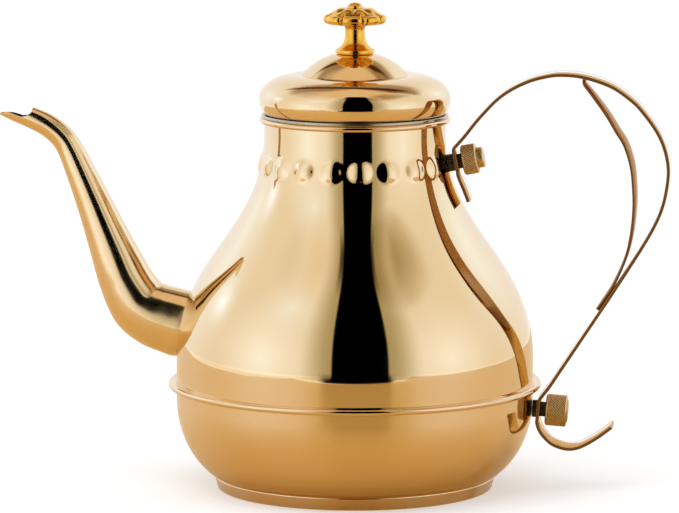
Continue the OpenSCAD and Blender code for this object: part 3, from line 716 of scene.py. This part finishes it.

# pale worn brass, hazy, with painted shade in the knurl
nut_brass, tree, surface = material("brass, turned and knurled")
place = add(tree, "TexCoord").outputs["Object"]
cloud = add(tree, "TexNoise", {"Vector": place, "Scale": 420.0, "Detail": 5.0})
worn = add(tree, "Mix", {"Factor": cloud.outputs["Fac"], "A": linear("CDA968"), "B": linear("EED3A0")},
           data_type="RGBA")
# painted shade: a darker colour in the knurl's valleys
hollow = add(tree, "NewGeometry").outputs["Pointiness"]
knurl_shade_mask = add(tree, "MapRange", {"Value": hollow, "From Min": 0.44, "From Max": 0.52})
knurl_painted_shade = add(tree, "Mix", {"Factor": knurl_shade_mask.outputs["Result"], "A": linear("99733C"),
                            "B": worn.outputs["Result"]}, data_type="RGBA")
tree.links.new(knurl_painted_shade.outputs["Result"], surface.inputs["Base Color"])
rough = add(tree, "MapRange", {"Value": cloud.outputs["Fac"], "To Min": 0.26, "To Max": 0.42})
tree.links.new(rough.outputs["Result"], surface.inputs["Roughness"])
surface.inputs["Metallic"].default_value = 1.0

KNURLS = 36
KNURL_DEPTH = 0.34
KNURL_FADE = 0.3
KNURL_ROW = 0.14
CHAMFER = 0.5
FILLET = 0.6
EDGE_BREAK = 0.15
STUD_BORE = 2.06
CAP_T = 0.4
BUSH_HI = 1.5
BUSH_LO = 2.1


def thumb_nut(radius, length, boss, boss_length):
    """A knurled drum with a plain boss on its outer face, its bore along +Z and closed at the boss."""
    rows = int(length / KNURL_ROW)
    fillet = min(FILLET, boss_length * 0.6)
    outline = [(STUD_BORE, 0), (radius - CHAMFER, 0)]
    outline += [(radius, CHAMFER + (length - 2 * CHAMFER) * k / rows) for k in range(rows + 1)]
    outline += [(radius - CHAMFER, length), (boss + EDGE_BREAK, length),
                (boss, length + EDGE_BREAK * min(1, boss_length))]
    outline += arc((boss - FILLET, length + boss_length - fillet), (FILLET, fillet), 0, 90, 5)
    outline += [(0, length + boss_length), (0, length - CAP_T), (STUD_BORE, length - CAP_T)]

    def knurled(r, z, turn):
        """Cuts two crossing rows of grooves into the drum's side and leaves the rest as it is."""
        if r < radius - 0.01:
            return r, z
        fade = min(1.0, (z - CHAMFER) / KNURL_FADE, (length - CHAMFER - z) / KNURL_FADE)
        across = KNURLS * turn / 2
        up = KNURLS * z / radius / 2
        cut = 1 - abs(math.sin(across + up)) * abs(math.sin(across - up))
        return r - KNURL_DEPTH * max(0.0, fade) * cut ** 2, z

    return spin(outline, steps=288, shape=knurled)


def on_stud(points, foot, out, height):
    """Stands a piece made along +Z on a stud, height above the wall."""
    placed = []
    for x, y, z in points:
        along = z + height
        placed.append((foot.x + out.x * along + out.y * x, y, foot.y + out.y * along - out.x * x))
    return placed


# name and body, radius, length, boss radius, boss length, foot and direction of the stud, height
for name, body, radius, length, boss, boss_length, foot, out, height in (
        ("Upper_thumb_nut", "upper_nut", 5.7, 5.6, 3.88, 2.5,
         hi_point, hi_out, SPACER_HI + STRAP_T + BUSH_HI),
        ("Lower_thumb_nut", "lower_nut", 6.0, 8.0, 4.2, 0.4,
         lo_point, lo_out, SPACER_LO + STRAP_T + BUSH_LO)):
    points, faces = thumb_nut(radius, length, boss, boss_length)
    make(name, on_stud(points, foot, out, height), faces, body, "nut_brass", nut_brass, [body], crease=60)


# ---- lid ------------------------------------------------------------------
# The lid is spun like the body, with a rounded shoulder, a valley and a crown.
# A skirt of bare steel is folded into its edge and drops inside the neck, and a
# thin dark silicone ring lies between the lid and the mouth ring.

SEAL_T = 0.5
LID_Z = MOUTH_TOP + SEAL_T
LID_R = 36.1
FLANK_H = 5.4
FLANK_R = 10.0
LID_WIDE_Z = LID_Z + FLANK_H
VALLEY_R = 20.4
VALLEY_W = 1.6
LID_SHOULDER_H = 8.9
VALLEY_Z = LID_WIDE_Z + LID_SHOULDER_H
CROWN_H = 7.7
CROWN_TOP = VALLEY_Z + CROWN_H
COLLAR_R = 7.4
SCREW_HOLE = 2.1

shoulder_w = LID_R - VALLEY_R - VALLEY_W
flank_turn = -math.degrees(math.asin(FLANK_H / FLANK_R))
crown = ((VALLEY_R, VALLEY_Z), (VALLEY_R - 3, VALLEY_Z + 2.7), (VALLEY_R - 7, CROWN_TOP - 1.2),
         (COLLAR_R + 0.2, CROWN_TOP))
lid_outer = (arc((LID_R - FLANK_R, LID_WIDE_Z), (FLANK_R, FLANK_R), flank_turn, 0, 14)
             + arc((LID_R - shoulder_w, LID_WIDE_Z), (shoulder_w, LID_SHOULDER_H), 0, 90, 48)[1:]
             + [tuple(bezier(crown, k / 30)[0]) for k in range(31)] + [(SCREW_HOLE, CROWN_TOP)])


def inset_line(line, distance):
    """The line moved to its left, for a shell's inner face."""
    return [(p[0] - distance * way.y, p[1] + distance * way.x)
            for p, way in zip(line, headings([Vector(q) for q in line]))]


lid_gold = gold_coated_steel("gold coated stainless steel, spun lid", GOLD, (0.03, 0.07), 0.9, 0.0004)
make("Lid", *spin(lid_outer + inset_line(lid_outer, SHEET)[::-1]),
     "lid", "gold_steel", lid_gold, ["lid_shell"])
refinish("lid_skirt", ring_steel)

# nearly black and matt, with a little dust
silicone, tree, surface = material("silicone, dark")
place = add(tree, "TexCoord").outputs["Object"]
dust = add(tree, "TexNoise", {"Vector": place, "Scale": 900.0, "Detail": 3.0})
tone = add(tree, "Mix", {"Factor": dust.outputs["Fac"], "A": linear("241D19"), "B": linear("3A2F28")},
           data_type="RGBA")
tree.links.new(tone.outputs["Result"], surface.inputs["Base Color"])
surface.inputs["Roughness"].default_value = 0.55
surface.inputs["IOR"].default_value = 1.43
refinish("lid_seal", silicone)


# ---- knob -----------------------------------------------------------------
# The flower knob is cast in zinc alloy and plated in a deeper gold than the
# coating of the pot. Casting leaves its petals soft-edged. A steel screw and a
# washer under the lid's crown hold it.

KNOB_H = 19.5
KNOB_R = 11.9
COLLAR_EDGE = 1.1
WAIST_R = 3.7
WAIST_Z = 5.2
PETALS = 8
PETAL_FOOT_R = 7.5
PETAL_GAP = 1.5
PETAL_CREASE = 0.75
INNER_RING_R = 6.6
BUTTON_R = 3.1
BUTTON_H = 1.9
EDGE_R = 1.75
STEM_TOP = 10.5
FLOWER_Z = 0.68 * KNOB_H

rim_r = KNOB_R - EDGE_R
stem_curve = ((COLLAR_R - 1, 2 * COLLAR_EDGE), (WAIST_R + 0.8, 3.6), (WAIST_R, WAIST_Z),
              (WAIST_R, WAIST_Z + 3))
stem = [(0, 0)] + arc((COLLAR_R - COLLAR_EDGE, COLLAR_EDGE), (COLLAR_EDGE, COLLAR_EDGE), -90, 90, 14)
stem += [tuple(bezier(stem_curve, k / 14)[0]) for k in range(15)]
stem += [(WAIST_R, 9.6), (WAIST_R + 0.25, STEM_TOP), (WAIST_R + 1.1, 11.1), (WAIST_R + 3, 11.4)]
petal_curve = ((rim_r, FLOWER_Z + EDGE_R), (8.6, 15.9), (6.6, 16.9), (3.4, KNOB_H - BUTTON_H))
flower = arc((rim_r, FLOWER_Z), (EDGE_R, EDGE_R), -90, 90, 18)
flower += [tuple(bezier(petal_curve, k / 24)[0]) for k in range(1, 25)]
flower += arc((0, KNOB_H - BUTTON_H), (BUTTON_R, BUTTON_H), 0, 90, 12)[:-1] + [(0, KNOB_H)]


def petalled(radius, height, turn):
    """Draws the rim in between the petals and presses two rings of petals into the top."""
    if height < STEM_TOP:
        return radius, height
    outer = abs(math.cos(PETALS * turn / 2))
    gap = (1 - outer) ** 3
    far = max(0.0, (radius - PETAL_FOOT_R) / (KNOB_R - PETAL_FOOT_R))
    top = 1 if height > FLOWER_Z else 0.35
    radius -= PETAL_GAP * gap * far
    height -= top * (PETAL_CREASE * gap * far)
    if height > FLOWER_Z + 1:
        inner = abs(math.cos(PETALS * (turn + math.pi / PETALS) / 2))
        ring = math.exp(-((radius - INNER_RING_R) / 1.7) ** 2)
        height += ring * (PETAL_CREASE * inner - 0.25)
        height -= 0.35 * math.exp(-((radius - BUTTON_R - 0.2) / 0.7) ** 2)
    return radius, height


# a deeper gold than the pot's, with painted shade between the petals
knob_gold, tree, surface = material("zinc alloy, cast and gold-plated")
place = add(tree, "TexCoord").outputs["Object"]
cloud = add(tree, "TexNoise", {"Vector": place, "Scale": 260.0, "Detail": 4.0})
plate = add(tree, "Mix", {"Factor": cloud.outputs["Fac"], "A": linear("E5A634"), "B": linear("F3C056")},
            data_type="RGBA")
# painted shade: a darker colour in the creases between the petals
hollow = add(tree, "NewGeometry").outputs["Pointiness"]
petal_shade_mask = add(tree, "MapRange", {"Value": hollow, "From Min": 0.42, "From Max": 0.5})
dark = add(tree, "Mix", {"Factor": petal_shade_mask.outputs["Result"], "A": linear("A2640F"),
                         "B": plate.outputs["Result"]}, data_type="RGBA")
tree.links.new(dark.outputs["Result"], surface.inputs["Base Color"])
rough = add(tree, "MapRange", {"Value": cloud.outputs["Fac"], "To Min": 0.12, "To Max": 0.22})
tree.links.new(rough.outputs["Result"], surface.inputs["Roughness"])
surface.inputs["Metallic"].default_value = 1.0
points, faces = spin(stem + flower, steps=256, shape=petalled)
make("Flower_knob", [(x, y, z + CROWN_TOP) for x, y, z in points], faces,
     "lid", "knob_gold", knob_gold, ["knob"], crease=50)
refinish("knob_washer", ring_steel)
refinish("knob_screw", ring_steel)


# ---- studio ---------------------------------------------------------------
# The pot stands on a warm polished slab in a white tent, turned a little so that
# its handle comes towards the camera. The tent is open at the front, where the
# dark room shows in the metal as an upright band. Soft lamps light its sides.

TURN = math.radians(6)


def turned(x, y, z=0.0):
    """A place in the studio, as seen from the camera: x to its right, y away from it."""
    return Vector((x * math.cos(TURN) - y * math.sin(TURN), x * math.sin(TURN) + y * math.cos(TURN), z))


def stage_mesh(name, points, faces, finish):
    """A piece of the studio, its points in metres."""
    mesh = bpy.data.meshes.new(name)
    mesh.from_pydata(points, [], faces)
    mesh.materials.append(finish)
    item = bpy.data.objects.new(name, mesh)
    bpy.context.scene.collection.objects.link(item)
    return item


def shader_tree(owner):
    """An empty node tree of a material or a world."""
    owner.use_nodes = True
    owner.node_tree.nodes.clear()
    return owner.node_tree


def seen_directly(tree):
    """1 for rays from the camera and through glass, and for what polished metal mirrors; otherwise 0."""
    path = add(tree, "LightPath")
    either = add(tree, "Math", {0: path.outputs["Is Camera Ray"], 1: path.outputs["Is Glossy Ray"]},
                 operation="MAXIMUM")
    return add(tree, "Math", {0: either.outputs["Value"], 1: path.outputs["Is Transmission Ray"]},
               operation="MAXIMUM").outputs["Value"]


# the tent's cloth is white where it is seen and a little dimmer as a light
world = bpy.data.worlds.new("white tent")
bpy.context.scene.world = world
tree = shader_tree(world)
cloth = add(tree, "Background", {"Color": (1.0, 1.0, 1.0, 1.0), "Strength": 0.8})
white = add(tree, "Background", {"Color": (1.0, 1.0, 1.0, 1.0), "Strength": 1.0})
blend = add(tree, "MixShader", {"Fac": seen_directly(tree), 1: cloth.outputs["Background"],
                                2: white.outputs["Background"]})
add(tree, "OutputWorld", {"Surface": blend.outputs["Shader"]})

# matt white paper that keeps the pot's shadow and looks as white as the tent
floor_white = bpy.data.materials.new("white paper")
tree = shader_tree(floor_white)
paper = add(tree, "BsdfDiffuse", {"Color": (0.8, 0.8, 0.8, 1.0)})
lift = add(tree, "Emission", {"Color": (1.0, 1.0, 1.0, 1.0), "Strength": 0.36})
lit = add(tree, "AddShader", {0: paper.outputs["BSDF"], 1: lift.outputs["Emission"]})
blend = add(tree, "MixShader", {"Fac": seen_directly(tree), 1: paper.outputs["BSDF"],
                                2: lit.outputs["Shader"]})
add(tree, "OutputMaterial", {"Surface": blend.outputs["Shader"]})
FLOOR_R = 0.8
FLOOR_SIDES = 96
floor_turns = [2 * math.pi * k / FLOOR_SIDES for k in range(FLOOR_SIDES)]
stage_mesh("Floor", [(FLOOR_R * math.cos(turn), FLOOR_R * math.sin(turn), 0) for turn in floor_turns],
           [tuple(range(FLOOR_SIDES))], floor_white)


def for_metal_only(card):
    """Leaves a card out of everything but what polished metal mirrors."""
    card.visible_camera = False
    card.visible_diffuse = False
    card.visible_shadow = False


# the slab under the pot, seen only in the metal: a warm sheen that mirrors the dark opening softly
slab_finish = bpy.data.materials.new("warm slab, satin")
tree = shader_tree(slab_finish)
satin = add(tree, "BsdfPrincipled", {"Base Color": (0.84, 0.56, 0.215, 1.0), "Roughness": 0.25})
add(tree, "OutputMaterial", {"Surface": satin.outputs["BSDF"]})
SLAB_Z = 0.0004
SLAB = ((-0.2, -0.385), (0.23, -0.4), (0.4, -0.57), (0.47, -0.39), (0.51, -0.31),
        (0.57, -0.235), (0.6, -0.14), (0.645, -0.03), (0.6, 0.25), (0.5, 0.5),
        (-0.5, 0.5), (-0.5, 0.0), (-0.473, -0.086), (-0.42, -0.154), (-0.41, -0.225),
        (-0.386, -0.29), (-0.347, -0.344), (-0.325, -0.42))
slab_points = [turned(x, y, SLAB_Z) for x, y in SLAB]
for_metal_only(stage_mesh("Slab", slab_points, [tuple(range(len(SLAB)))], slab_finish))


def upright(azimuth, distance, left, right, low, high):
    """Corners of an upright card that faces the pot's axis; azimuth 0 is towards the camera."""
    way = math.radians(azimuth)
    corners = []
    for along, z in ((left, low), (right, low), (right, high), (left, high)):
        corners.append(turned(distance * math.sin(way) + along * math.cos(way),
                              -distance * math.cos(way) + along * math.sin(way), z))
    return corners


def card(name, corners, colour, edges=None, glow=0.0):
    """A sheet of the tent that filters what is behind it, or glows; edges are its four soft margins."""
    finish = bpy.data.materials.new(name)
    tree = shader_tree(finish)
    place = add(tree, "TexCoord").outputs["UV"]
    if edges:
        spot = add(tree, "SeparateXYZ", {"Vector": place})
        mask = 1.0
        for side, margin in enumerate(edges):
            axis = "XXYY"[side]
            start = side % 2
            end = abs(start - max(margin, 0.001))
            slope = add(tree, "MapRange", {"Value": spot.outputs[axis], "From Min": start,
                                           "From Max": end}, interpolation_type="SMOOTHSTEP")
            mask = add(tree, "Math", {0: slope.outputs["Result"], 1: mask},
                       operation="MULTIPLY").outputs["Value"]
    else:
        middle = add(tree, "Mapping", {"Vector": place, "Location": (-1, -1, 0), "Scale": (2, 2, 1)})
        mask = add(tree, "TexGradient", {"Vector": middle.outputs["Vector"]},
                   gradient_type="QUADRATIC_SPHERE").outputs["Fac"]
    if glow:
        power = add(tree, "Math", {0: mask, 1: glow}, operation="MULTIPLY")
        light = add(tree, "Emission", {"Color": colour, "Strength": power.outputs["Value"]})
        shown = add(tree, "AddShader", {0: add(tree, "BsdfTransparent").outputs["BSDF"],
                                        1: light.outputs["Emission"]}).outputs["Shader"]
    else:
        tint = add(tree, "Mix", {"Factor": mask, "A": (1, 1, 1, 1), "B": colour}, data_type="RGBA")
        shown = add(tree, "BsdfTransparent", {"Color": tint.outputs["Result"]}).outputs["BSDF"]
    add(tree, "OutputMaterial", {"Surface": shown})
    sheet = stage_mesh(name, corners, [(0, 1, 2, 3)], finish)
    layer = sheet.data.uv_layers.new(name="card")
    for corner, spot in zip(sheet.data.loops, ((0, 0), (1, 0), (1, 1), (0, 1))):
        layer.data[corner.index].uv = spot
    for_metal_only(sheet)


BLACK = (0, 0, 0, 1)
SIDE_SHADE = (0.5, 0.455, 0.28, 1)
ROOF_SHADE = (0.45, 0.35, 0.25, 1)
LAMP_AWAY = 0.6

# the opening, with a black sheet of painted shade on the unlit ground before it, and a tinted sheet of
# painted shade on each side of it
card("Dark opening", upright(0, 2.5, -0.7, 1.02, -0.8, 8.0), BLACK, (0.04, 0.05, 0.01, 0.12))
card("Head of the opening", upright(0, 2.6, -1.05, 1.3, 3.2, 8.0), BLACK, (0.1, 0.1, 0.5, 0.2))
# painted shade: the unlit ground before the opening, drawn as a black sheet
unlit_ground = ((-0.22, -0.82), (0.33, -0.82), (0.165, -0.386), (-0.117, -0.386))
card("Ground before the opening", [turned(x, y, 0.002) for x, y in unlit_ground], BLACK, (0.06, 0.06, 0.01, 0.01))
card("Sill of the opening", upright(0, 0.389, -0.165, 0.18, 0.001, 0.05), BLACK, (0.15, 0.15, 0.01, 0.9))
# tinted sheets of painted shade on both sides of the opening
card("Left side shade", upright(0, 0.392, -0.285, -0.09, 0.001, 1.1), SIDE_SHADE, (1, 0.001, 0.01, 0.3))
card("Right side shade", upright(0, 0.392, 0.135, 0.37, 0.001, 1.1), SIDE_SHADE, (0.001, 1, 0.01, 0.3))

# soft lamps behind the cloth: azimuth, left, right, low, high, colour, glow
for name, azimuth, left, right, low, high, colour, glow in (
        ("Left lamp", -60, -0.6, 0.6, -0.5, 0.7, (0.3, 0.55, 1.05, 1), 0.8),
        ("Right lamp", 61, -0.6, 0.6, -0.5, 0.7, (0.3, 0.55, 1.05, 1), 0.65),
        ("Left upper lamp", -50, -0.4, 0.4, 0.2, 0.9, (0.15, 0.45, 1.0, 1), 0.6),
        ("Left rear lamp", -108, -0.17, 0.17, 0.13, 0.47, (0.3, 0.6, 1.4, 1), 1.0),
        ("Left rear cloth", -130, -0.6, 0.6, -0.3, 0.9, (0.2, 0.5, 1.1, 1), 0.8),
        ("Right rear cloth", 128, -0.6, 0.6, -0.2, 1.0, (0.2, 0.5, 1.1, 1), 0.9)):
    card(name, upright(azimuth, LAMP_AWAY, left, right, low, high), colour, glow=glow)

# the ceiling is warmer than the walls, and painted shade makes it darker
for name, left, near, right, far, height, colour, edges in (
        ("Warm ceiling", -0.6, -0.6, 0.6, 0.6, 0.95, (0.9, 0.72, 0.5, 1), (0.3, 0.3, 0.3, 0.3)),
        ("Warm ceiling, right", 0.1, -0.9, 0.9, 0.1, 0.94, (0.72, 0.66, 0.52, 1), (0.2, 0.4, 0.4, 0.4))):
    corners = ((left, near), (right, near), (right, far), (left, far))
    card(name, [turned(x, y, height) for x, y in corners], colour, edges)


def towards(azimuth, height, distance):
    """A place in the direction of an azimuth and an elevation from the middle of the pot."""
    flat = distance * math.cos(math.radians(height))
    return turned(flat * math.sin(math.radians(azimuth)), -flat * math.cos(math.radians(azimuth)),
                  0.1 + distance * math.sin(math.radians(height)))


# painted shade darkens the roof towards the back and above both sides, and a dark rail hangs across its
# back;
# each is given by its four corners (azimuth, elevation)
for name, distance, corners, colour, edges in (
        ("Rear roof, right", 0.8, ((100, 36), (180, 36), (180, 74), (100, 74)),
         ROOF_SHADE, (0.3, 0.001, 0.3, 0.3)),
        ("Rear roof, left", 0.8, ((180, 36), (-100, 36), (-100, 74), (180, 74)),
         ROOF_SHADE, (0.001, 0.3, 0.3, 0.3)),
        ("Left upper shade", 0.75, ((-120, 36), (-55, 36), (-55, 68), (-120, 68)),
         (0.72, 0.7, 0.68, 1), (0.3, 0.5, 0.5, 0.3)),
        ("Right upper shade", 0.75, ((35, 40), (115, 36), (115, 68), (35, 72)),
         (0.68, 0.63, 0.5, 1), (0.4, 0.4, 0.4, 0.3)),
        ("Rail", 0.7, ((117, 50), (-134, 36), (-134, 50), (117, 66)),
         (0.2, 0.12, 0.06, 1), (0.1, 0.1, 0.5, 0.1))):
    card(name, [towards(azimuth, height, distance) for azimuth, height in corners], colour, edges)

top_lamp = bpy.data.lights.new("Top lamp", "AREA")
top_lamp.shape = "DISK"
top_lamp.size = 1.1
top_lamp.energy = 4.0
top = bpy.data.objects.new("Top lamp", top_lamp)
top.location = turned(-0.35, -0.5, 1.3)
top.rotation_euler = (Vector((0, 0, 0.08)) - top.location).to_track_quat("-Z", "Y").to_euler()
top.visible_camera = False
top.visible_glossy = False
bpy.context.scene.collection.objects.link(top)

CAMERA_TILT = 82.038
camera_data = bpy.data.cameras.new("Camera")
camera_data.sensor_width = 36.0
camera_data.lens = 265.1
camera_data.clip_end = 20.0
camera = bpy.data.objects.new("Camera", camera_data)
camera.location = turned(-0.005814, -1.874487, 0.350319)
camera.rotation_euler = (math.radians(CAMERA_TILT), 0.0, TURN)
bpy.context.scene.collection.objects.link(camera)
bpy.context.scene.camera = camera
bpy.context.scene.view_settings.view_transform = "Standard"
